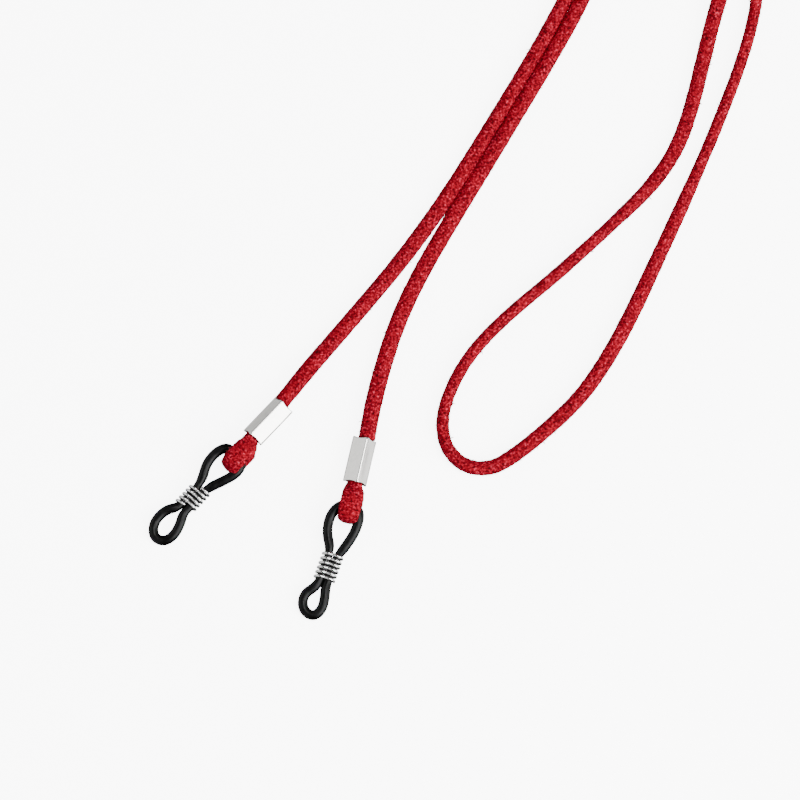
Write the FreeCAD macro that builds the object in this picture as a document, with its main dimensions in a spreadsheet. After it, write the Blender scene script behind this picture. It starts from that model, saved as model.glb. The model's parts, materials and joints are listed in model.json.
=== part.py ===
"""Eyeglass retainer strap: one soft cord whose two ends are folded through a
rubber loop and clamped in a square metal crimp, each loop pinched by a sliding
wire coil.  Millimetres, +Z up, lying on the plane Z = 0 with the origin under
the middle of the two metal and rubber end fittings."""
import FreeCAD, Part
import math
import os

from FreeCAD import Placement, Rotation, Vector
from Sketcher import Constraint

SIZES = {
    # cord
    "cord_diameter": 3.0,
    # square crimp tube
    "crimp_side": 3.7,
    "crimp_length": 9.3,
    "crimp_wall": 0.35,
    "crimp_corner": 0.45,
    # doubled end of the cord
    "fold_reach": 4.6,
    "fold_outer": 2.75,
    "fold_width": 3.6,
    "fold_height": 2.9,
    "fold_gap": 0.3,
    "fold_hole": 1.13,
    "fold_level": 2.9,
    "leg_drop": 0.2,
    "plug_overhang": 1.1,
    # rubber loop
    "rubber_diameter": 1.66,
    "neck_offset": 0.84,
    "neck_start": 9.1,
    "neck_end": 16.2,
    "cord_eye_half": 2.98,
    "cord_eye_shoulder": 4.3,
    "temple_eye_half": 2.1,
    "temple_eye_middle": 19.9,
    "loop_length": 23.3,
    "temple_tip_half": 1.6,
    "loop_pitch": 5.05,
    "largest_bend": 3.0,
    "temple_eye_centre": 20.3,
    # wire coil round the neck of the loop
    "wire_diameter": 0.6,
    "wire_clearance": 0.05,
    "wire_turns": 6,
    "wire_pitch": 0.85,
    # put-away length of the cord
    "coil_inner": 10.5,
    "coil_outer": 19.7,
    "coil_height": 6.3,
    "coil_base": 0.02,
    "coil_x": 85.0,
    "coil_y": 127.2,
}

# The two ends: middle of the crimp, heading of the fitting, roll of the crimp about
# its own axis, sideways step and turn of the rubber loop, and where the wire coil
# starts along the loop (mm, degrees).
ENDS = {
    "a": {
        "at": (1.32, 17.48), "heading": -133.0, "roll": -35.0,
        "step": -0.25, "turn": -0.5, "coil_start": 9.8,
    },
    "b": {
        "at": (19.57, 9.35), "heading": -102.7, "roll": 30.0,
        "step": 0.3, "turn": -7.0, "coil_start": 10.6,
    },
}

# Routes of the cord, from one crimp to the put-away coil, round the neck loop
# and back to the other crimp.
# The cord lies with its middle at LIE and crosses its own turns at HUMP.
LIE = 1.52
HUMP = 4.8
ARC_SHARE = 0.45
STRAND_A = [
    (4.0, 21.3, 2.5), (8.3, 27.0, 1.9), (16.0, 36.2, LIE), (27.8, 50.4, LIE),
    (36.4, 62.6, LIE), (43.0, 73.3, LIE), (49.4, 84.1, LIE), (55.4, 94.3, LIE),
    (60.9, 104.5, LIE), (65.1, 114.2, LIE), (66.9, 124.8, LIE),
]
STRAND_B = [
    (21.0, 13.8, 2.5), (21.9, 19.8, 1.9), (24.3, 29.4, LIE), (27.4, 38.8, LIE),
    (32.0, 48.6, LIE), (39.0, 60.8, LIE), (45.6, 71.7, LIE), (52.0, 82.5, LIE),
    (58.0, 92.8, LIE), (63.7, 103.1, LIE), (68.2, 113.3, LIE), (70.0, 124.5, LIE),
]
NECK_LOOP = [
    (100.0, 125.4, HUMP), (100.7, 116.0, HUMP), (100.6, 106.8, 1.8), (98.3, 96.2, LIE),
    (93.6, 83.2, LIE), (87.4, 68.4, LIE), (79.3, 50.8, LIE), (71.7, 34.6, LIE),
    (64.6, 23.4, LIE),
    (57.0, 16.0, LIE), (50.6, 10.8, LIE), (45.8, 7.9, LIE), (40.5, 8.3, LIE),
    (36.7, 12.1, LIE), (35.8, 17.7, LIE), (37.5, 24.0, LIE), (41.6, 31.4, LIE),
    (48.6, 38.9, LIE), (59.6, 48.1, LIE), (70.6, 58.4, LIE), (78.2, 65.9, LIE),
    (83.4, 73.4, LIE), (86.6, 82.2, LIE), (89.1, 92.4, LIE), (91.6, 102.2, 1.8),
    (94.3, 110.9, HUMP), (96.6, 118.9, HUMP), (97.0, 125.8, 4.0),
]

document = FreeCAD.newDocument("eyeglass_strap")
sheet = document.addObject("Spreadsheet::Sheet", "Sizes")
for row, (alias, value) in enumerate(SIZES.items(), start=1):
    sheet.set(f"A{row}", alias)
    sheet.set(f"B{row}", str(value))
    sheet.setAlias(f"B{row}", alias)
document.recompute()


def size(alias):
    """The number that the sheet holds for a driving dimension."""
    return float(getattr(sheet, alias))


def bind(thing, **formulas):
    """Bind an object's properties to formulas on the sheet's cells."""
    for name, formula in formulas.items():
        thing.setExpression(name, formula)


# ---------------------------------------------------------------- frames

def end_frame(end, rolled=False):
    """Frame at the middle of a crimp: X towards the glasses, Y to its left."""
    roll = math.radians(abs(ENDS[end]["roll"]))
    corner = size("crimp_corner")
    level = (size("crimp_side") / 2 - corner) * (math.cos(roll) + math.sin(roll)) + corner
    turned = Rotation(Vector(0, 0, 1), ENDS[end]["heading"])
    if rolled:
        turned = turned.multiply(Rotation(Vector(1, 0, 0), ENDS[end]["roll"]))
    return Placement(Vector(*ENDS[end]["at"], level), turned)


def loop_origin(end):
    """Middle of the rubber strand that the cord is folded round, in the end's own frame."""
    level = size("fold_level") - end_frame(end).Base.z
    return Vector(size("crimp_length") / 2 + size("fold_reach"), ENDS[end]["step"], level)


def loop_frame(end):
    """Frame of a rubber loop: X along the loop to the glasses, Y along the strand in the fold."""
    turned = Rotation(Vector(0, 0, 1), ENDS[end]["turn"])
    turned = turned.multiply(Rotation(Vector(0, 1, 0), size("loop_pitch")))
    return end_frame(end).multiply(Placement(loop_origin(end), turned))


# ---------------------------------------------------------------- tubes

def rounded_path(points, largest=None):
    """Straight runs joined by tangent arcs, and the list of the arcs' radii."""
    points = [Vector(*p) for p in points]
    edges = []
    radii = []
    start = points[0]
    for before, corner, after in zip(points, points[1:], points[2:]):
        back, ahead = before - corner, after - corner
        reach = ARC_SHARE * min(back.Length, ahead.Length)
        half_turn = (math.pi - back.getAngle(ahead)) / 2
        if largest:
            reach = min(reach, largest * math.tan(half_turn))
        back.normalize()
        ahead.normalize()
        radius = reach / math.tan(half_turn)
        first = corner + back * reach
        last = corner + ahead * reach
        inward = (back + ahead).normalize()
        middle = corner + inward * (radius / math.cos(half_turn) - radius)
        edges.append(Part.LineSegment(start, first).toShape())
        edges.append(Part.Arc(first, middle, last).toShape())
        radii.append(radius)
        start = last
    edges.append(Part.LineSegment(start, points[-1]).toShape())
    return Part.Wire(edges), radii


def tube(path, diameter):
    """Round solid swept along a path, with its volume checked against section times length."""
    first = path.OrderedEdges[0]
    tangent = first.tangentAt(first.FirstParameter)
    outline = Part.Wire(Part.Circle(first.valueAt(first.FirstParameter), tangent, diameter / 2).toShape())
    solid = path.makePipeShell([outline], True, False)
    expected = math.pi * diameter**2 / 4 * path.Length
    if abs(solid.Volume / expected - 1) > 0.01:
        raise ValueError(f"tube volume {solid.Volume:.1f}, expected {expected:.1f}")
    return solid


def feature(label, shape, placement=None):
    """Sub-part whose shape is made by Part's functions from the sheet's sizes."""
    part = document.addObject("Part::Feature", label)
    part.Label = label
    part.Shape = shape
    part.Placement = placement or Placement()
    return part


def cord_tube(label, points):
    path, radii = rounded_path(points)
    print(f"{label}: {path.Length:.0f} mm long, arc radii", [round(r, 1) for r in radii])
    return feature(label, tube(path, size("cord_diameter")))


# ---------------------------------------------------------------- crimps

def origin_plane(body, role):
    return next(f for f in body.Origin.OriginFeatures if f.Role == role)


def square_sketch(body, name, side_formula):
    """Square centred on the body's X axis, drawn on its YZ plane."""
    sketch = body.newObject("Sketcher::SketchObject", name)
    sketch.AttachmentSupport = [(origin_plane(body, "YZ_Plane"), "")]
    sketch.MapMode = "FlatFace"
    corners = [Vector(-1, -1, 0), Vector(1, -1, 0), Vector(1, 1, 0), Vector(-1, 1, 0)]
    for start, end in zip(corners, corners[1:] + corners[:1]):
        sketch.addGeometry(Part.LineSegment(start, end), False)
    for side in range(4):
        sketch.addConstraint(Constraint("Coincident", side, 2, (side + 1) % 4, 1))
    for side in (0, 2):
        sketch.addConstraint(Constraint("Horizontal", side))
        sketch.addConstraint(Constraint("Vertical", side + 1))
    sketch.addConstraint(Constraint("Symmetric", 0, 1, 1, 2, -1, 1))
    wide = sketch.addConstraint(Constraint("DistanceX", 0, 1, 0, 2, 2.0))
    high = sketch.addConstraint(Constraint("DistanceY", 1, 1, 1, 2, 2.0))
    for number in (wide, high):
        sketch.setExpression(f"Constraints[{number}]", side_formula)
    sketch.Visibility = False
    return sketch


def crimp(end):
    """Square tube, open at both ends, with rounded long edges."""
    body = document.addObject("PartDesign::Body", f"crimp_{end}")
    body.Label = f"crimp_{end}"
    pad = body.newObject("PartDesign::Pad", f"crimp_{end}_tube")
    pad.Profile = square_sketch(body, f"crimp_{end}_outside", "Sizes.crimp_side")
    pad.Midplane = True
    bind(pad, Length="Sizes.crimp_length")
    document.recompute()
    long_edges = [
        f"Edge{k}"
        for k, edge in enumerate(pad.Shape.Edges, start=1)
        if abs(edge.tangentAt(edge.FirstParameter).x) > 0.99
    ]
    rounding = body.newObject("PartDesign::Fillet", f"crimp_{end}_edges")
    rounding.Base = (pad, long_edges)
    bind(rounding, Radius="Sizes.crimp_corner")
    document.recompute()
    before = rounding.Shape.Volume
    bore = body.newObject("PartDesign::Pocket", f"crimp_{end}_bore")
    bore.Profile = square_sketch(body, f"crimp_{end}_inside", "Sizes.crimp_side - 2 * Sizes.crimp_wall")
    bore.Midplane = True
    bind(bore, Length="Sizes.crimp_length + 2 * Sizes.crimp_wall")
    body.Tip = bore
    body.Placement = end_frame(end, rolled=True)
    document.recompute()
    cut = before - body.Shape.Volume
    wanted = (size("crimp_side") - 2 * size("crimp_wall")) ** 2 * size("crimp_length")
    if abs(cut / wanted - 1) > 0.01:
        raise ValueError(f"crimp_{end}: the bore cut {cut:.2f}, expected {wanted:.2f}")
    return body


# ---------------------------------------------------------------- folded ends

def cord_fold(end):
    """Doubled end of the cord: a square plug in the crimp and an eye round the rubber strand."""
    name = f"cord_fold_{end}"
    plug = document.addObject("Part::Box", f"{name}_plug")
    bind(
        plug,
        Length="Sizes.crimp_length + Sizes.plug_overhang",
        Width="Sizes.crimp_side - 2 * Sizes.crimp_wall",
        Height="Sizes.crimp_side - 2 * Sizes.crimp_wall",
    )
    inside = size("crimp_side") / 2 - size("crimp_wall")
    roll = Rotation(Vector(1, 0, 0), ENDS[end]["roll"])
    corner = Vector(-size("crimp_length") / 2, -inside, -inside)
    plug.Placement = Placement(Vector(0, 0, 0), roll).multiply(Placement(corner, Rotation()))

    eye_frame = Placement(loop_origin(end), Rotation(Vector(0, 0, 1), ENDS[end]["turn"]))
    sideways = Rotation(Vector(1, 0, 0), 90)
    eye = document.addObject("Part::Cylinder", f"{name}_eye")
    bind(eye, Radius="Sizes.fold_outer", Height="Sizes.fold_width")
    eye.Placement = eye_frame.multiply(Placement(Vector(0, size("fold_width") / 2, 0), sideways))
    leg = document.addObject("Part::Box", f"{name}_legs")
    bind(
        leg,
        Length="Sizes.fold_reach - Sizes.fold_gap",
        Width="Sizes.fold_width",
        Height="Sizes.fold_height",
    )
    leg_corner = Vector(
        size("fold_gap") - size("fold_reach"),
        -size("fold_width") / 2,
        -size("fold_height") / 2 - size("leg_drop"),
    )
    leg.Placement = eye_frame.multiply(Placement(leg_corner, Rotation()))
    hole = document.addObject("Part::Cylinder", f"{name}_hole")
    bind(hole, Radius="Sizes.fold_hole", Height="Sizes.fold_width * 2")
    hole.Placement = eye_frame.multiply(Placement(Vector(0, size("fold_width"), 0), sideways))

    solid = document.addObject("Part::MultiFuse", f"{name}_solid")
    solid.Shapes = [plug, leg, eye]
    fold = document.addObject("Part::Cut", name)
    fold.Base = solid
    fold.Tool = hole
    fold.Label = name
    fold.Placement = end_frame(end)
    return fold


# ---------------------------------------------------------------- rubber loops

def rubber_loop(end):
    """Closed rubber ring: an eye in the cord's fold, a pinched neck and the eye for the temple."""
    neck_middle = (size("neck_start") + size("neck_end")) / 2
    cord_side = [
        (size("neck_start"), size("neck_offset")),
        (size("cord_eye_shoulder"), size("cord_eye_half")),
        (0, size("cord_eye_half")),
    ]
    temple_side = [
        (size("neck_end"), size("neck_offset")),
        (size("temple_eye_middle"), size("temple_eye_half")),
        (size("loop_length"), size("temple_tip_half")),
    ]
    corners = (
        [(neck_middle, size("neck_offset"))]
        + cord_side
        + [(along, -across) for along, across in reversed(cord_side)]
        + [(along, -across) for along, across in temple_side]
        + list(reversed(temple_side))
        + [(neck_middle, size("neck_offset"))]
    )
    corners = [(along, across, 0) for along, across in corners]
    path, _ = rounded_path(corners, largest=size("largest_bend"))
    return feature(f"rubber_loop_{end}", tube(path, size("rubber_diameter")), loop_frame(end))


# ---------------------------------------------------------------- wire coils

def swing(start, end, bulge_at):
    return Part.Arc(start, bulge_at, end).toShape()


def crossing(start, end):
    """Two equal arcs that carry the wire forward across one flat side of the neck."""
    middle = (start + end) / 2
    across, forward = abs(end.y - start.y), end.x - start.x
    radius = (across**2 + forward**2) / (4 * forward)
    angle = math.asin(across / 2 / radius)
    way = math.copysign(1.0, end.y - start.y)
    step_y, step_x = radius * math.sin(angle / 2), radius * (1 - math.cos(angle / 2))
    first = start + Vector(step_x, way * step_y, 0)
    second = end - Vector(step_x, way * step_y, 0)
    return [swing(start, middle, first), swing(middle, end, second)]


def wire_coil(end):
    """Round wire wound round the two strands of the neck, six turns."""
    wire, offset = size("wire_diameter"), size("neck_offset")
    radius = size("rubber_diameter") / 2 + size("wire_clearance") + wire / 2
    half_pitch = size("wire_pitch") / 2
    here = ENDS[end]["coil_start"]
    edges = []
    for turn in range(int(size("wire_turns"))):
        for side in (1, -1):
            top = Vector(here, side * offset, side * radius)
            bottom = Vector(here, side * offset, -side * radius)
            edges.append(swing(top, bottom, Vector(here, side * (offset + radius), 0)))
            here += half_pitch
            edges += crossing(bottom, Vector(here, -side * offset, -side * radius))
    edges = edges[:-2]
    return feature(f"wire_coil_{end}", tube(Part.Wire(edges), wire), loop_frame(end))


# ---------------------------------------------------------------- cord

def put_away_coil():
    """Outer shape of the length of cord that is wound up behind the neck."""
    outside = document.addObject("Part::Cylinder", "cord_coil_outside")
    bind(outside, Radius="Sizes.coil_outer", Height="Sizes.coil_height")
    inside = document.addObject("Part::Cylinder", "cord_coil_inside")
    bind(inside, Radius="Sizes.coil_inner", Height="Sizes.coil_height")
    coil = document.addObject("Part::Cut", "cord_coil")
    coil.Base = outside
    coil.Tool = inside
    coil.Label = "cord_coil"
    coil.Placement = Placement(Vector(size("coil_x"), size("coil_y"), size("coil_base")), Rotation())
    return coil


def report_joints(end):
    """Print where the loop swings and where the wire coil slides, for the record."""
    frame = loop_frame(end)
    hinge = frame.Rotation.multVec(Vector(0, -1, 0))
    slide = frame.Rotation.multVec(Vector(1, 0, 0))
    eye = frame.multVec(Vector(size("temple_eye_centre"), 0, 0))
    print(end, "hinge at", [round(v, 3) for v in frame.Base], "axis", [round(v, 5) for v in hinge])
    print(end, "slide axis", [round(v, 5) for v in slide], "temple eye", [round(v, 3) for v in eye])


def main():
    parts = [
        cord_tube("cord_strand_a", STRAND_A),
        cord_tube("cord_strand_b", STRAND_B),
        cord_tube("cord_neck_loop", NECK_LOOP),
        put_away_coil(),
    ]
    for end in ENDS:
        parts += [crimp(end), cord_fold(end), rubber_loop(end), wire_coil(end)]
        report_joints(end)
    document.recompute()
    for thing in document.Objects:
        if {"Invalid", "Error"} & set(thing.State):
            raise RuntimeError(f"{thing.Name} is {thing.State}")
    fittings = FreeCAD.BoundBox()
    for part in parts:
        if part.Shape.isNull() or not part.Shape.isValid():
            raise RuntimeError(f"{part.Label} has no valid shape")
        if len(part.Shape.Solids) != 1:
            raise RuntimeError(f"{part.Label} has {len(part.Shape.Solids)} solids")
        if not part.Label.startswith("cord"):
            fittings.add(part.Shape.BoundBox)
    print("middle of the fittings", fittings.Center.x, fittings.Center.y, "lowest", fittings.ZMin)
    os.makedirs("parts", exist_ok=True)
    for part in parts:
        part.Shape.exportStep(f"parts/{part.Label}.step")


main()
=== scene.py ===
"""Eyeglass retainer strap: napped suede cord, square crimps, rubber loops and
wire coils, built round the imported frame.  Metres, +Z up."""
import json
import math
import random

import bpy
from mathutils import Matrix, Vector, noise


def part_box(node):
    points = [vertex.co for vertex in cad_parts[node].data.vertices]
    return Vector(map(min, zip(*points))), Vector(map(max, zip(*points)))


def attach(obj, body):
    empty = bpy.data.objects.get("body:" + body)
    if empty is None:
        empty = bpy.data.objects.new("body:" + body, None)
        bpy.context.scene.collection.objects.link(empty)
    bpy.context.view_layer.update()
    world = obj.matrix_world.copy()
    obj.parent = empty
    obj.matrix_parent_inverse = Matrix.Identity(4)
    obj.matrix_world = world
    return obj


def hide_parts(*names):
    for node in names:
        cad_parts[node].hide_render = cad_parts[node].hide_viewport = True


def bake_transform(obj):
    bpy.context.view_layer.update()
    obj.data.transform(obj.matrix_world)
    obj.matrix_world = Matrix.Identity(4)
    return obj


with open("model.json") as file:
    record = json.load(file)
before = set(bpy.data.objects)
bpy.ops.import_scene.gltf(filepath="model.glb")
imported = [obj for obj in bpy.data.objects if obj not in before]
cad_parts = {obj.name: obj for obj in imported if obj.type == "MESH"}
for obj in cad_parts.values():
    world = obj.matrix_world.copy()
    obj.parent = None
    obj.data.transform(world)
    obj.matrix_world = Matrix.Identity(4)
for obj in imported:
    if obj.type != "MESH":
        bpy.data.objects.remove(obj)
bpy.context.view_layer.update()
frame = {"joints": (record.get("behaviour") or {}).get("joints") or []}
scene = bpy.context.scene
MM = 0.001


# ---------------------------------------------------------------- camera

VIEW_TARGET = Vector((0.0276, 0.0223, 0.0))
VIEW_ELEVATION = math.radians(78)
VIEW_DISTANCE = 0.9
VIEW_LENS = 202.5
SENSOR_WIDTH = 36


def make_camera():
    """Camera above the front of the strap, tilted down at it."""
    data = bpy.data.cameras.new("camera")
    data.sensor_width = SENSOR_WIDTH
    data.lens = VIEW_LENS
    data.clip_start = 0.01
    camera = bpy.data.objects.new("camera", data)
    scene.collection.objects.link(camera)
    back = Vector((0, -math.cos(VIEW_ELEVATION), math.sin(VIEW_ELEVATION)))
    camera.location = VIEW_TARGET + back * VIEW_DISTANCE
    camera.rotation_euler = (math.pi / 2 - VIEW_ELEVATION, 0, 0)
    scene.camera = camera


# ---------------------------------------------------------------- cord route

# heights of the cord's middle: lying on the floor, and where it crosses its own turns (m)
LIE = 0.00152
HUMP = 0.0048
# control points of the cord's middle line: both strands from their crimps to the put-away coil,
# and the neck loop that leaves the coil and comes back to it (m)
STRAND_A = [
    (0.0040, 0.0213, 0.0025), (0.0083, 0.0270, 0.0019), (0.0160, 0.0362, LIE),
    (0.0278, 0.0504, LIE), (0.0364, 0.0626, LIE), (0.0430, 0.0733, LIE),
    (0.0494, 0.0841, LIE), (0.0554, 0.0943, LIE), (0.0609, 0.1045, LIE),
    (0.0651, 0.1142, LIE), (0.0669, 0.1248, LIE),
]
STRAND_B = [
    (0.0210, 0.0138, 0.0025), (0.0219, 0.0198, 0.0019), (0.0243, 0.0294, LIE),
    (0.0274, 0.0388, LIE), (0.0320, 0.0486, LIE), (0.0390, 0.0608, LIE),
    (0.0456, 0.0717, LIE), (0.0520, 0.0825, LIE), (0.0580, 0.0928, LIE),
    (0.0637, 0.1031, LIE), (0.0682, 0.1133, LIE), (0.0700, 0.1245, LIE),
]
NECK_LOOP = [
    (0.1000, 0.1254, HUMP), (0.1007, 0.1160, HUMP), (0.1006, 0.1068, 0.0018),
    (0.0983, 0.0962, LIE), (0.0936, 0.0832, LIE), (0.0874, 0.0684, LIE),
    (0.0793, 0.0508, LIE), (0.0717, 0.0346, LIE), (0.0646, 0.0234, LIE),
    (0.0570, 0.0160, LIE), (0.0506, 0.0108, LIE), (0.0458, 0.0079, LIE),
    (0.0405, 0.0083, LIE), (0.0367, 0.0121, LIE), (0.0358, 0.0177, LIE),
    (0.0375, 0.0240, LIE), (0.0416, 0.0314, LIE), (0.0486, 0.0389, LIE),
    (0.0596, 0.0481, LIE), (0.0706, 0.0584, LIE), (0.0782, 0.0659, LIE),
    (0.0834, 0.0734, LIE), (0.0866, 0.0822, LIE), (0.0891, 0.0924, LIE),
    (0.0916, 0.1022, 0.0018), (0.0943, 0.1109, HUMP), (0.0966, 0.1189, HUMP),
    (0.0970, 0.1258, 0.0040),
]
COIL_MIDDLE = Vector((0.0850, 0.1272, 0))
# radii of the put-away coil's outer turn, the half turn inside it and its inner turn (m)
COIL_RADII = (0.0182, 0.0151, 0.0120)
TURN_POINTS = 14


def smooth(share):
    """Smooth step from 0 to 1."""
    share = min(max(share, 0.0), 1.0)
    return share * share * (3 - 2 * share)


def winding(first_angle, last_angle, radius_at, height_at):
    """Points of part of a turn round the coil's middle, ends left out; angles in degrees."""
    count = max(3, round(abs(last_angle - first_angle) / 360 * TURN_POINTS))
    points = []
    for k in range(1, count):
        angle = first_angle + (last_angle - first_angle) * k / count
        turned = math.radians(angle)
        level = Vector((0, 0, height_at(angle)))
        outward = Vector((math.cos(turned), math.sin(turned), 0))
        points.append(COIL_MIDDLE + radius_at(angle) * outward + level)
    return points


def cord_route():
    """The whole cord, from one crimp through the put-away coil and the neck loop to the other."""
    outer, middle, inner = COIL_RADII
    spiral = winding(
        188, -367,
        lambda angle: outer + (inner - outer) * smooth(-angle / 180),
        lambda angle: LIE + (HUMP - LIE) * smooth((-angle - 300) / 60),
    )
    half_turn = winding(
        -7, 190,
        lambda angle: middle,
        lambda angle: LIE + (HUMP - LIE) * smooth((60 - angle) / 60),
    )
    return STRAND_A + spiral + NECK_LOOP[::-1] + half_turn + STRAND_B[::-1]


def smooth_line(points, steps):
    """Points of the NURBS curve of order 3 that has these control points."""
    data = bpy.data.curves.new("route", "CURVE")
    data.dimensions = "3D"
    data.resolution_u = steps
    spline = data.splines.new("NURBS")
    spline.points.add(len(points) - 1)
    for slot, point in zip(spline.points, points):
        slot.co = (*point, 1.0)
    spline.order_u = 3
    spline.use_endpoint_u = True
    route = bpy.data.objects.new("route", data)
    scene.collection.objects.link(route)
    mesh = bpy.data.meshes.new_from_object(route)
    line = [vertex.co.copy() for vertex in mesh.vertices]
    bpy.data.objects.remove(route)
    bpy.data.curves.remove(data)
    bpy.data.meshes.remove(mesh)
    return line


# ---------------------------------------------------------------- meshes

def make_piece(name, points, faces, material):
    """Smooth-shaded object with one material."""
    mesh = bpy.data.meshes.new(name)
    mesh.from_pydata(points, [], faces)
    mesh.update()
    mesh.polygons.foreach_set("use_smooth", [True] * len(mesh.polygons))
    piece = bpy.data.objects.new(name, mesh)
    scene.collection.objects.link(piece)
    mesh.materials.append(material)
    return piece


def loft(rings, closed=False):
    """Points and faces of a skin over rings of equal length, with flat caps unless it is closed."""
    count = len(rings[0])
    points = [point for ring in rings for point in ring]
    faces = []
    for k in range(len(rings) if closed else len(rings) - 1):
        here, there = k * count, (k + 1) % len(rings) * count
        for j in range(count):
            after = (j + 1) % count
            faces.append((here + j, here + after, there + after, there + j))
    if not closed:
        faces.append(tuple(reversed(range(count))))
        faces.append(tuple(range((len(rings) - 1) * count, len(rings) * count)))
    return points, faces


def tangents(line):
    """Unit direction of the line at each of its points."""
    ends = [line[0]] + line + [line[-1]]
    return [(after - before).normalized() for before, after in zip(ends, ends[2:])]


def lengths_along(line):
    """Distance of each point from the start of the line."""
    total, along = 0.0, [0.0]
    for before, after in zip(line, line[1:]):
        total += (after - before).length
        along.append(total)
    return along


def between(table, where):
    """Value at a distance, from a list of (distance, value) with smooth steps between them."""
    for (start, low), (end, high) in zip(table, table[1:]):
        if where <= end:
            return low + (high - low) * smooth((where - start) / (end - start))
    return table[-1][1]


def oval_ring(centre, side, up, half_width, half_height, count, roughen=None):
    """Ring of points round an oval; roughen gives how far each stands proud."""
    ring = []
    for k in range(count):
        angle = 2 * math.pi * k / count
        across, rise = math.cos(angle), math.sin(angle)
        point = centre + side * (half_width * across) + up * (half_height * rise)
        if roughen:
            outward = (side * (across / half_width) + up * (rise / half_height)).normalized()
            point += outward * roughen(point)
        ring.append(point)
    return ring


# size and height of the suede's coarse and fine unevenness (mm)
NAP_SIZES = (0.9, 0.38)
NAP_HEIGHTS = (0.075, 0.05)


def nap(point):
    """Height of the suede's uneven nap at a point."""
    coarse = noise.noise(point / (NAP_SIZES[0] * MM))
    fine = noise.noise(point / (NAP_SIZES[1] * MM) + Vector((7, 3, 1)))
    return NAP_HEIGHTS[0] * MM * coarse + NAP_HEIGHTS[1] * MM * fine


# place and thickness of a fibre's narrow part, and the most that its tip droops, as shares
FIBRE_WAIST_PLACE = 0.55
FIBRE_WAIST = 0.7
FIBRE_DROOP = 0.25


def add_fibres(points, faces, rings, line, chance, count, length, thickness, lift):
    """Short pointed fibres that stand out of a lofted cord, added to its points and faces."""
    ways = tangents(line)
    while count > 0:
        k = chance.randrange(2, len(rings) - 2)
        root = chance.choice(rings[k])
        outward = (root - line[k]).normalized()
        along = ways[k] * chance.uniform(-1, 1)
        sideways = outward.cross(ways[k]) * chance.uniform(-0.7, 0.7)
        way = (outward * chance.uniform(*lift) + along + sideways).normalized()
        reach, half = chance.uniform(*length) * MM, chance.uniform(*thickness) * MM
        if (root + way * reach).z < 0.1 * MM:
            continue
        across = way.orthogonal().normalized()
        other = way.cross(across)
        bend = outward * (-FIBRE_DROOP * reach * chance.random())
        start = len(points)
        for turn in (0, 120, 240):
            angle = math.radians(turn)
            offset = (across * math.cos(angle) + other * math.sin(angle)) * half
            points.append(root - outward * half + offset)
        for turn in (0, 120, 240):
            angle = math.radians(turn)
            offset = (across * math.cos(angle) + other * math.sin(angle)) * half * FIBRE_WAIST
            points.append(root + way * (reach * FIBRE_WAIST_PLACE) + offset)
        points.append(root + way * reach + bend)
        faces.append((start + 2, start + 1, start))
        for j in range(3):
            after = (j + 1) % 3
            faces.append((start + j, start + after, start + 3 + after, start + 3 + j))
            faces.append((start + 3 + j, start + 3 + after, start + 6))
        count -= 1


# ---------------------------------------------------------------- materials

def new_material(name):
    """A material with its nodes and links."""
    material = bpy.data.materials.new(name)
    material.use_nodes = True
    return material, material.node_tree.nodes, material.node_tree.links


def add_noise(nodes, links, scale, detail=3.0, roughness=0.6, stretch=None):
    """Noise texture in the object's own coordinates; scale is in features per metre."""
    place = nodes.new("ShaderNodeTexCoord")
    texture = nodes.new("ShaderNodeTexNoise")
    texture.inputs["Scale"].default_value = scale
    texture.inputs["Detail"].default_value = detail
    texture.inputs["Roughness"].default_value = roughness
    if stretch:
        mapping = nodes.new("ShaderNodeMapping")
        mapping.inputs["Scale"].default_value = stretch
        links.new(place.outputs["Object"], mapping.inputs["Vector"])
        links.new(mapping.outputs["Vector"], texture.inputs["Vector"])
    else:
        links.new(place.outputs["Object"], texture.inputs["Vector"])
    return texture.outputs["Fac"]


def add_ramp(nodes, links, source, stops):
    """Colours picked by a value, from a list of (place from 0 to 1, colour)."""
    ramp = nodes.new("ShaderNodeValToRGB")
    while len(ramp.color_ramp.elements) < len(stops):
        ramp.color_ramp.elements.new(0.5)
    for element, (place, colour) in zip(ramp.color_ramp.elements, stops):
        element.position = place
        element.color = (*colour, 1)
    links.new(source, ramp.inputs["Fac"])
    return ramp.outputs["Color"]


def add_bump(nodes, links, source, shader, distance, strength):
    """Unevenness of a shader's surface, as high as distance says in metres."""
    bump = nodes.new("ShaderNodeBump")
    bump.inputs["Distance"].default_value = distance
    bump.inputs["Strength"].default_value = strength
    links.new(source, bump.inputs["Height"])
    links.new(bump.outputs["Normal"], shader.inputs["Normal"])


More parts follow.
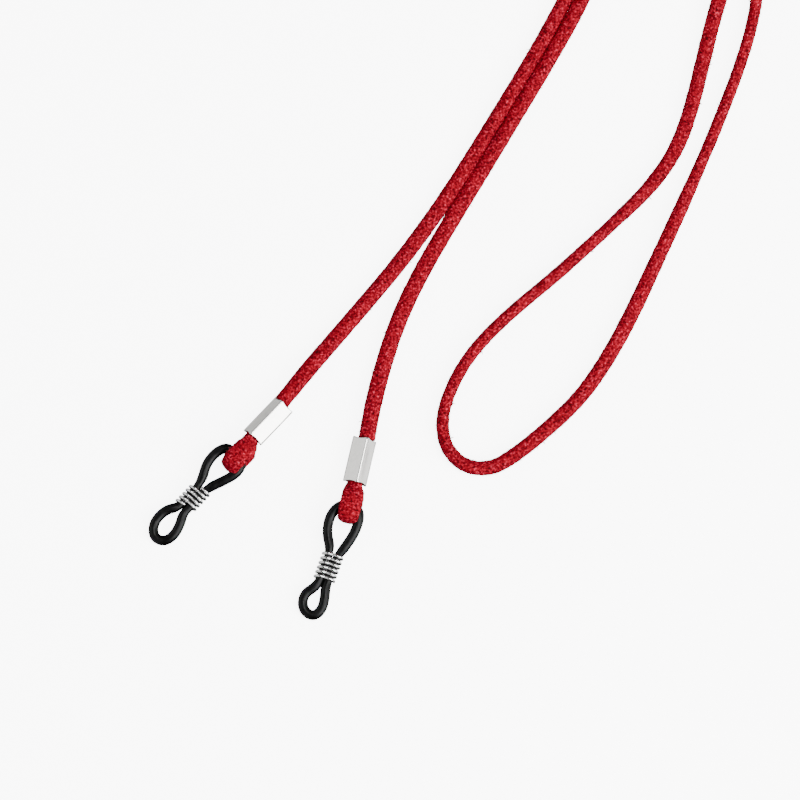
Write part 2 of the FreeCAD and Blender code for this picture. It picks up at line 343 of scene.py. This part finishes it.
def suede():
    """Crimson napped suede: mottled pile whose colours also paint glints as pale pink specks and paint
    shade as near-black specks.
    """
    material, nodes, links = new_material("crimson_suede")
    shader = nodes["Principled BSDF"]
    shader.inputs["Roughness"].default_value = 0.85
    shader.inputs["Specular IOR Level"].default_value = 0.06
    shader.inputs["Sheen Weight"].default_value = 0.03
    shader.inputs["Sheen Roughness"].default_value = 0.4
    shader.inputs["Sheen Tint"].default_value = (1.0, 0.2, 0.3, 1)
    pile = add_noise(nodes, links, 2300, detail=3.0, roughness=0.62)
    # random mottling of the pile; its palest pink stop is a painted glint and its darkest stop is painted
    # shade
    pile_tone_and_painted_glints = add_ramp(
        nodes, links, pile,
        [
            (0.34, (0.03, 0.0, 0.001)),
            (0.46, (0.15, 0.0004, 0.005)),
            (0.58, (0.29, 0.0015, 0.012)),
            (0.70, (0.62, 0.045, 0.085)),
        ],
    )
    patches = add_noise(nodes, links, 520, detail=2.0)
    shade = add_ramp(nodes, links, patches, [(0.3, (0.72, 0.72, 0.72)), (0.65, (1.0, 1.0, 1.0))])
    mix = nodes.new("ShaderNodeMix")
    mix.data_type = "RGBA"
    mix.blend_type = "MULTIPLY"
    mix.inputs["Factor"].default_value = 1.0
    links.new(pile_tone_and_painted_glints, mix.inputs["A"])
    links.new(shade, mix.inputs["B"])
    links.new(mix.outputs["Result"], shader.inputs["Base Color"])
    add_bump(nodes, links, pile, shader, 0.00009, 0.7)
    return material


def plated_metal(name, colour, low, high, scratched):
    """Bright plated metal with uneven polish and faint scratches as deep as scratched says."""
    material, nodes, links = new_material(name)
    shader = nodes["Principled BSDF"]
    shader.inputs["Metallic"].default_value = 1.0
    polish = add_noise(nodes, links, 900, detail=3.0)
    tint = add_ramp(nodes, links, polish, [(0.35, [0.9 * c for c in colour]), (0.65, colour)])
    links.new(tint, shader.inputs["Base Color"])
    rough = add_ramp(nodes, links, polish, [(0.3, (low,) * 3), (0.7, (high,) * 3)])
    links.new(rough, shader.inputs["Roughness"])
    scratches = add_noise(nodes, links, 1500, detail=2.0, stretch=(1.0, 0.25, 1.0))
    add_bump(nodes, links, scratches, shader, 0.00002, scratched)
    return material


def black_rubber():
    """Soft black rubber with a faint bloom and fine moulding texture."""
    material, nodes, links = new_material("black_rubber")
    shader = nodes["Principled BSDF"]
    shader.inputs["Specular IOR Level"].default_value = 0.1
    bloom = add_noise(nodes, links, 700, detail=3.0)
    darkest, palest = (0.0008, 0.0008, 0.0008), (0.0035, 0.0035, 0.0036)
    colour = add_ramp(nodes, links, bloom, [(0.35, darkest), (0.7, palest)])
    links.new(colour, shader.inputs["Base Color"])
    rough = add_ramp(nodes, links, bloom, [(0.3, (0.26,) * 3), (0.7, (0.36,) * 3)])
    links.new(rough, shader.inputs["Roughness"])
    grain = add_noise(nodes, links, 5200, detail=2.0)
    add_bump(nodes, links, grain, shader, 0.00002, 0.35)
    return material


def pale_paper():
    """Plain pale floor."""
    material, nodes, links = new_material("pale_floor")
    shader = nodes["Principled BSDF"]
    shader.inputs["Roughness"].default_value = 0.9
    tone = add_noise(nodes, links, 40, detail=2.0)
    colour = add_ramp(nodes, links, tone, [(0.3, (0.93, 0.93, 0.93)), (0.7, (0.95, 0.95, 0.95))])
    links.new(colour, shader.inputs["Base Color"])
    shader.inputs["Emission Color"].default_value = (1.0, 1.0, 1.0, 1)
    shader.inputs["Emission Strength"].default_value = 7.0
    return material


SUEDE = suede()
NICKEL = plated_metal("bright_nickel", (0.66, 0.65, 0.62), 0.16, 0.24, 0.12)
STEEL = plated_metal("coil_steel", (0.66, 0.66, 0.66), 0.14, 0.20, 0.03)
RUBBER = black_rubber()


# ---------------------------------------------------------------- the free cord

CORD_SIDES = 20
ROUTE_STEPS = 26
# half of the cord's width at distances along it from crimp A (m)
HALF_WIDTHS = [
    (0.000, 0.00160), (0.008, 0.00168), (0.055, 0.00166), (0.080, 0.00158),
    (0.125, 0.00156), (0.160, 0.00150), (0.262, 0.00150), (0.290, 0.00158),
    (0.322, 0.00155), (0.345, 0.00126), (0.392, 0.00126), (0.418, 0.00152),
    (0.456, 0.00160), (0.476, 0.00146), (0.492, 0.00124), (0.520, 0.00122),
    (0.550, 0.00148), (0.595, 0.00152), (0.618, 0.00157), (0.645, 0.00158),
    (0.668, 0.00172), (0.700, 0.00172), (0.712, 0.00172), (0.720, 0.00165),
]
# half width times half height, in square metres, and the limits of the half height in metres
SECTION_AREA = 0.00205 * MM
HALF_HEIGHT = (0.00122, 0.00142)


def make_cord():
    """The free cord: both strands, the put-away coil and the neck loop."""
    line = smooth_line(cord_route(), ROUTE_STEPS)
    along = lengths_along(line)
    scale = HALF_WIDTHS[-1][0] / along[-1]
    rings = []
    for centre, way, distance in zip(line, tangents(line), along):
        side = way.cross(Vector((0, 0, 1))).normalized()
        up = side.cross(way)
        half_width = between(HALF_WIDTHS, distance * scale)
        half_height = min(max(SECTION_AREA / half_width, HALF_HEIGHT[0]), HALF_HEIGHT[1])
        rings.append(oval_ring(centre, side, up, half_width, half_height, CORD_SIDES, nap))
    points, faces = loft(rings)
    chance = random.Random(11)
    add_fibres(
        points, faces, rings, line, chance,
        count=5200, length=(0.25, 0.6), thickness=(0.03, 0.05), lift=(0.3, 1.0),
    )
    add_fibres(
        points, faces, rings, line, chance,
        count=240, length=(0.5, 1.0), thickness=(0.07, 0.13), lift=(0.5, 1.2),
    )
    cord = make_piece("suede_cord", points, faces, SUEDE)
    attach(cord, "strap")
    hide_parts("cord_strand_a", "cord_strand_b", "cord_neck_loop", "cord_coil")


# ---------------------------------------------------------------- end frames

# the crimps, in millimetres
CRIMP_SIDE = 3.7
CRIMP_LENGTH = 9.3
CRIMP_WALL = 0.35
CRIMP_CORNER = 0.45
INNER_CORNER = 0.12
# heading of each end over the floor and roll of its crimp, in degrees
ENDS = {
    "a": {"heading": -133.0, "roll": -35.0},
    "b": {"heading": -102.7, "roll": 30.0},
}


def joint(name):
    """The frame's entry for a joint."""
    return next(j for j in frame["joints"] if j["name"] == name)


def end_frame(end, rolled=False):
    """Frame at the middle of a crimp: X towards the glasses, Z up; scale in millimetres."""
    low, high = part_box(f"crimp_{end}")
    turned = Matrix.Rotation(math.radians(ENDS[end]["heading"]), 4, "Z")
    if rolled:
        turned = turned @ Matrix.Rotation(math.radians(ENDS[end]["roll"]), 4, "X")
    return Matrix.Translation((low + high) / 2) @ turned @ Matrix.Scale(MM, 4)


def loop_frame(end):
    """Frame of a rubber loop: X along it to the glasses, Y along the strand in the fold."""
    along = Vector(joint(f"coil_{end}_slide")["axis"]).normalized()
    across = -Vector(joint(f"loop_{end}_swing")["axis"]).normalized()
    up = along.cross(across)
    axes = Matrix((along, across, up)).transposed().to_4x4()
    origin = Vector(joint(f"loop_{end}_swing")["pos_m"])
    return Matrix.Translation(origin) @ axes @ Matrix.Scale(MM, 4)


# ---------------------------------------------------------------- crimps

# points on each half of a face, and degrees between the points of a corner
FACE_STEPS = 5
CORNER_STEP = 18
# places where the tool pressed the faces in: depth, middle and spread along the crimp (mm)
DENTS = [(0.045, -1.1, 2.0), (0.03, 2.4, 1.4)]
MOUTH_LENGTH = 0.8
MOUTH_DRAWN = 0.22
MOUTH_FLARE = 0.04
# skin over the wall's end: distance back from the crimp's end, and inset from its outer face (mm)
LIP = [(0.035, 0.035), (0.0, 0.12), (0.0, 0.23), (0.035, 0.31)]
LIP_DEPTH = 0.12
STATIONS = 24


def square_profile(inset):
    """Rounded square as (y, z, face normal, place across the face from -1 to 1), in millimetres."""
    half, corner = CRIMP_SIDE / 2 - inset, max(CRIMP_CORNER - inset, INNER_CORNER)
    flat = half - corner
    outline = []
    for quarter in range(4):
        turn = math.radians(90 * quarter)
        normal = (math.cos(turn), math.sin(turn))
        beside = (-math.sin(turn), math.cos(turn))
        for step in range(-FACE_STEPS, FACE_STEPS + 1):
            share = step / FACE_STEPS
            across = flat * share
            y = half * normal[0] + across * beside[0]
            z = half * normal[1] + across * beside[1]
            outline.append((y, z, normal, share))
        for step in range(1, 90 // CORNER_STEP):
            angle = turn + math.radians(CORNER_STEP * step)
            middle_y = flat * (normal[0] + beside[0])
            middle_z = flat * (normal[1] + beside[1])
            y = middle_y + corner * math.cos(angle)
            z = middle_z + corner * math.sin(angle)
            outline.append((y, z, normal, 1.0))
    return outline


def dent(x, share, depth, middle, spread):
    """How far a face of the crimp is pressed in at a place along and across it."""
    return depth * (1 - share * share) ** 2 * math.exp(-(((x - middle) / spread) ** 2))


def mouth_share(x):
    """1 at the crimp's ends, falling to 0 at the inner end of its mouths."""
    return smooth((abs(x) - CRIMP_LENGTH / 2 + MOUTH_LENGTH) / MOUTH_LENGTH)


def crimp_ring(x, inset, mouth):
    """One ring of the crimp's skin; mouth is 1 at its ends, where the middles of its faces are drawn in."""
    ring = []
    for y, z, normal, share in square_profile(inset):
        pressed = sum(dent(x, share, *place) for place in DENTS)
        flare = -MOUTH_FLARE * (1 - share * share) * (abs(x) / CRIMP_LENGTH * 2) ** 6
        inward = pressed + flare
        drawn = mouth * MOUTH_DRAWN * (1 - share * share)
        ring.append(Vector((x - math.copysign(drawn, x), y - normal[0] * inward, z - normal[1] * inward)))
    return ring


def make_crimp(end):
    """Square tube bent from plated sheet, pressed in where the tool closed it."""
    half = CRIMP_LENGTH / 2
    body = CRIMP_LENGTH - 2 * LIP_DEPTH
    stations = [-half + LIP_DEPTH + body * k / STATIONS for k in range(STATIONS + 1)]
    rings = [crimp_ring(x, 0.0, mouth_share(x)) for x in stations]
    lip = [(half - back, inset) for back, inset in LIP]
    rings += [crimp_ring(x, inset, 1.0) for x, inset in lip]
    rings += [crimp_ring(x, CRIMP_WALL, mouth_share(x)) for x in reversed(stations)]
    rings += [crimp_ring(-x, inset, 1.0) for x, inset in reversed(lip)]
    place = end_frame(end, rolled=True)
    points, faces = loft([[place @ point for point in ring] for ring in rings], closed=True)
    crimp = make_piece(f"square_crimp_{end}", points, faces, NICKEL)
    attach(crimp, "strap")
    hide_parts(f"crimp_{end}")


# ---------------------------------------------------------------- folded ends

# middle of the cord through the fold, as (along the end, up) from the rubber strand it holds (mm)
FOLD_PATH = [
    (-13.9, -0.68), (-11.5, -0.68), (-9.0, -0.68), (-6.5, -0.68), (-4.9, -0.66), (-3.4, -0.9),
    (-1.8, -1.75), (0.4, -2.15), (2.4, -1.6), (3.0, 0.0), (2.4, 1.6), (0.4, 2.15),
    (-1.8, 1.7), (-3.4, 0.8), (-4.9, 0.5), (-6.5, 0.5), (-9.0, 0.6), (-11.5, 0.68), (-13.9, 0.68),
]
# how far each bight leans off the middle of its loop, to the left of its heading (mm)
FOLD_LEAN = {"a": 1.05, "b": 0.0}
# place where the legs leave the crimp's grip, and the length over which they widen (mm)
LEGS_END = -5.2
WIDENING_LENGTH = 3.2
# half width and half height of a leg in the crimp, and what the bight adds to them (mm)
LEG_HALF = (1.28, 0.62)
BIGHT_ADDS = (0.90, 0.18)
TIP_NARROWING = 0.15
FOLD_STEPS = 10
OVAL_SIDES = 24


def fold_origin(end):
    """Middle of the rubber strand in the fold, in the end's own frame."""
    return end_frame(end).inverted() @ Vector(joint(f"loop_{end}_swing")["pos_m"])


def make_fold(end):
    """Doubled end of the cord: both legs fill the crimp and the bight holds the rubber loop."""
    middle = fold_origin(end)
    steps = smooth_line([Vector((x, 0, z)) for x, z in FOLD_PATH], FOLD_STEPS)
    roll = math.radians(ENDS[end]["roll"])
    rings, line = [], []
    place = end_frame(end)
    for point, way in zip(steps, tangents(steps)):
        free = smooth((point.x - LEGS_END) / WIDENING_LENGTH)
        turned = Matrix.Rotation(roll * (1 - free), 3, "X")
        centre = Vector((middle.x + point.x, (middle.y + FOLD_LEAN[end]) * free, middle.z * free))
        centre += turned @ Vector((0, 0, point.z * (0.9 + 0.1 * free)))
        side = turned @ Vector((0, 1, 0))
        up = side.cross(turned @ way).normalized()
        tip = smooth((point.x - 1.2) / 1.6)
        half_width = LEG_HALF[0] + BIGHT_ADDS[0] * free - TIP_NARROWING * tip
        half_height = LEG_HALF[1] + BIGHT_ADDS[1] * free
        ring = oval_ring(centre, side, up, half_width, half_height, OVAL_SIDES)
        rings.append([place @ p for p in ring])
        line.append(place @ centre)
    rough = []
    for ring, centre in zip(rings, line):
        rough.append([p + (p - centre).normalized() * nap(p) for p in ring])
    points, faces = loft(rough)
    chance = random.Random(23 + ord(end))
    add_fibres(
        points, faces, rough, line, chance,
        count=260, length=(0.2, 0.5), thickness=(0.03, 0.05), lift=(0.3, 1.0),
    )
    fold = make_piece(f"folded_end_{end}", points, faces, SUEDE)
    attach(fold, "strap")
    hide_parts(f"cord_fold_{end}")


# ---------------------------------------------------------------- rubber loops

# the rubber, in millimetres: its strands' distance from the middle of the neck, and its radius
NECK_OFFSET = 0.84
RUBBER_RADIUS = 1.0
PINCHED_RADIUS = 0.85
NECK_STRAIGHT = 1.9
PINCHED_LENGTH = 2.6
SWELLING_LENGTH = 2.0
EYE_LIFT = 0.15
LIFT_LENGTH = 8
RUBBER_STEPS = 12
# control points of each eye, from the neck round it and back, in the loop's own frame (mm)
CORD_EYES = {
    "a": [
        (10.2, -0.84), (8.0, -1.35), (5.4, -2.75), (2.6, -2.95), (0.5, -2.2), (0.1, -0.9),
        (0.1, 1.1), (0.9, 2.7), (3.0, 3.0), (5.7, 2.1), (8.2, 1.1), (9.8, 0.84),
    ],
    "b": [
        (10.9, -0.84), (9.0, -1.15), (6.9, -2.5), (4.5, -3.15), (2.2, -2.95), (0.7, -2.0),
        (0.1, -0.9), (0.1, 0.9), (0.6, 2.0), (2.4, 2.6), (5.2, 2.5), (8.1, 1.75), (10.1, 1.05),
        (11.2, 0.84),
    ],
}
TEMPLE_EYES = {
    "a": [
        (15.6, -0.9), (17.6, -2.2), (20.2, -2.4), (22.1, -1.6), (23.2, 0.0), (22.5, 1.9),
        (20.3, 2.5), (17.8, 1.85), (16.0, 0.84),
    ],
    "b": [
        (16.6, -0.88), (17.9, -1.45), (19.4, -2.6), (21.2, -2.6), (22.6, -1.75), (23.2, -0.4),
        (22.8, 0.9), (21.1, 1.6), (19.0, 1.35), (17.4, 0.9), (16.6, 0.84),
    ],
}


def neck_middle(end):
    """Middle of the wire coil, measured along its loop."""
    low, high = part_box(f"wire_coil_{end}")
    return (loop_frame(end).inverted() @ ((low + high) / 2)).x


def rubber_strand(name, end, middle_points, towards):
    """Half of a rubber loop, from inside the wire coil out round one eye and back."""
    middle = neck_middle(end)
    out = middle + towards * NECK_STRAIGHT
    outline = [(middle, -NECK_OFFSET), (out, -NECK_OFFSET)]
    outline += middle_points
    outline += [(out, NECK_OFFSET), (middle, NECK_OFFSET)]
    lift = [EYE_LIFT * smooth((x - middle) / LIFT_LENGTH) for x, _ in outline]
    line = smooth_line([Vector((x, y, z)) for (x, y), z in zip(outline, lift)], RUBBER_STEPS)
    place = loop_frame(end)
    rings = []
    for centre, way in zip(line, tangents(line)):
        side = way.cross(Vector((0, 0, 1))).normalized()
        free = smooth((abs(centre.x - middle) - PINCHED_LENGTH) / SWELLING_LENGTH)
        radius = PINCHED_RADIUS + (RUBBER_RADIUS - PINCHED_RADIUS) * free
        ring = oval_ring(centre, side, side.cross(way), radius, radius, OVAL_SIDES)
        rings.append([place @ p for p in ring])
    points, faces = loft(rings)
    strand = make_piece(name, points, faces, RUBBER)
    return strand


def make_loop(end):
    """Rubber loop in two halves, one round each eye."""
    cord_eye = rubber_strand(f"rubber_cord_eye_{end}", end, CORD_EYES[end], -1)
    temple_eye = rubber_strand(f"rubber_temple_eye_{end}", end, TEMPLE_EYES[end], 1)
    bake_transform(cord_eye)
    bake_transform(temple_eye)
    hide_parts(f"rubber_loop_{end}")


# ---------------------------------------------------------------- wire coils

# the wire, in millimetres: its radius, the distance of its middle from each strand's middle,
# its height over the crease between them, its advance in a turn and its start behind the coil's middle
WIRE_RADIUS = 0.3
WIRE_HUMP = 1.13
WIRE_CREASE = 0.84
WIRE_PITCH = 0.95
WIRE_BACK = 2.1
# advance of the wire as it crosses one face of the neck, and the bow of that crossing (mm)
WIRE_SLANT = -0.2
WIRE_BOW = -0.34
WIRE_SIDES = 14
TURN_STEPS = 32
# turns at which each wire starts and stops; six crossings show on top, the first and last of a in part
CROSSINGS = 6
WIRE_ENDS = {"a": (0.26, CROSSINGS - 0.76), "b": (0.02, CROSSINGS - 0.5)}
# size of the wire's cut end as a share of the wire, and how far it stands out (mm)
CUT_SHARE = 0.8
CUT_REACH = 0.06


def wire_point(turn):
    """Middle of the wire after this many turns, from the coil's middle; X along the loop, Z up."""
    share = turn % 1.0
    over = share < 0.5
    crossed = share * 2 if over else share * 2 - 1
    straight = NECK_OFFSET * 2
    arc = math.pi / 2 * WIRE_HUMP
    distance = crossed * (2 * arc + straight)
    if distance < arc:
        angle = distance / WIRE_HUMP
        y, z = -NECK_OFFSET - WIRE_HUMP * math.cos(angle), WIRE_HUMP * math.sin(angle)
    elif distance < arc + straight:
        y = -NECK_OFFSET + distance - arc
        z = WIRE_CREASE + (WIRE_HUMP - WIRE_CREASE) * smooth(abs(y) / NECK_OFFSET)
    else:
        angle = (distance - arc - straight) / WIRE_HUMP
        y, z = NECK_OFFSET + WIRE_HUMP * math.sin(angle), WIRE_HUMP * math.cos(angle)
    if over:
        x = WIRE_SLANT * smooth(crossed) + WIRE_BOW * math.sin(math.pi * crossed)
    else:
        x = WIRE_SLANT + (WIRE_PITCH - WIRE_SLANT) * smooth(crossed)
        y, z = -y, -z
    return Vector((WIRE_PITCH * int(turn) + x - WIRE_BACK, y, z))


def make_wire_coil(end):
    """Spring wire wound round both strands of the neck, blunt at its cut ends."""
    first_turn, last_turn = WIRE_ENDS[end]
    count = int((last_turn - first_turn) * TURN_STEPS)
    line = [wire_point(first_turn + (last_turn - first_turn) * k / count) for k in range(count + 1)]
    rings = []
    ways = tangents(line)
    for centre, way in zip(line, ways):
        outward = Vector((0, centre.y, centre.z)).normalized()
        side = way.cross(outward).normalized()
        rings.append(oval_ring(centre, side, side.cross(way), WIRE_RADIUS, WIRE_RADIUS, WIRE_SIDES))
    for k, reach in ((0, -CUT_REACH), (-1, CUT_REACH)):
        blunt = [line[k] + (p - line[k]) * CUT_SHARE + ways[k] * reach for p in rings[k]]
        rings.insert(0 if k == 0 else len(rings), blunt)
    place = loop_frame(end) @ Matrix.Translation((neck_middle(end), 0, 0))
    points, faces = loft([[place @ p for p in ring] for ring in rings])
    coil = make_piece(f"spring_coil_{end}", points, faces, STEEL)
    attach(coil, f"coil_{end}")
    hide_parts(f"wire_coil_{end}")


# ---------------------------------------------------------------- stage

# brightness at places from the bottom of the surroundings to their top, and from left to right
SKY_UP = [(0.10, 0.0), (0.20, 0.50), (0.28, 0.70), (0.70, 0.55)]
SKY_ACROSS = [(0.26, 0.40), (0.38, 0.05), (0.86, 0.05), (0.95, 1.0)]
SKY_STRENGTH = 4.2
FLOOR_HALF = 2.5
LIGHT_AIM = (0.03, 0.02, 0)


def add_light(name, place, size, power):
    """Square lamp turned to the strap; size in metres, power in watts."""
    data = bpy.data.lights.new(name, "AREA")
    data.size = size
    data.energy = power
    light = bpy.data.objects.new(name, data)
    scene.collection.objects.link(light)
    light.location = place
    light.rotation_euler = (Vector(LIGHT_AIM) - Vector(place)).to_track_quat("-Z", "Y").to_euler()


def add_sky():
    """Soft studio surroundings: a pale side at the left, a bright one at the right, dark between."""
    world = bpy.data.worlds.new("studio")
    world.use_nodes = True
    nodes, links = world.node_tree.nodes, world.node_tree.links
    direction = nodes.new("ShaderNodeTexCoord")
    parts = nodes.new("ShaderNodeSeparateXYZ")
    links.new(direction.outputs["Generated"], parts.inputs["Vector"])
    shades = []
    for axis, stops in (("Z", SKY_UP), ("X", SKY_ACROSS)):
        lifted = nodes.new("ShaderNodeMapRange")
        lifted.inputs["From Min"].default_value = -1.0
        links.new(parts.outputs[axis], lifted.inputs["Value"])
        greys = [(at, (bright,) * 3) for at, bright in stops]
        shades.append(add_ramp(nodes, links, lifted.outputs["Result"], greys))
    mix = nodes.new("ShaderNodeMix")
    mix.data_type = "RGBA"
    mix.blend_type = "MULTIPLY"
    mix.inputs["Factor"].default_value = 1.0
    links.new(shades[0], mix.inputs["A"])
    links.new(shades[1], mix.inputs["B"])
    links.new(mix.outputs["Result"], nodes["Background"].inputs["Color"])
    nodes["Background"].inputs["Strength"].default_value = SKY_STRENGTH
    scene.world = world


def make_stage():
    """Pale floor, three lamps and the surroundings."""
    half = FLOOR_HALF
    corners = [(-half, -half, 0), (half, -half, 0), (half, half, 0), (-half, half, 0)]
    floor = make_piece("floor", corners, [(0, 1, 2, 3)], pale_paper())
    floor.visible_glossy = False
    floor.visible_diffuse = False
    add_light("softbox_right", (0.68, -0.40, 0.62), 0.7, 24)
    add_light("softbox_top", (0.3, 0.1, 1.0), 0.4, 9)
    add_light("softbox_left", (-0.8, 0.18, 0.42), 0.8, 2.2)
    add_sky()


make_camera()
make_cord()
for name in ENDS:
    make_crimp(name)
    make_fold(name)
    make_loop(name)
for name in ENDS:
    make_wire_coil(name)
make_stage()
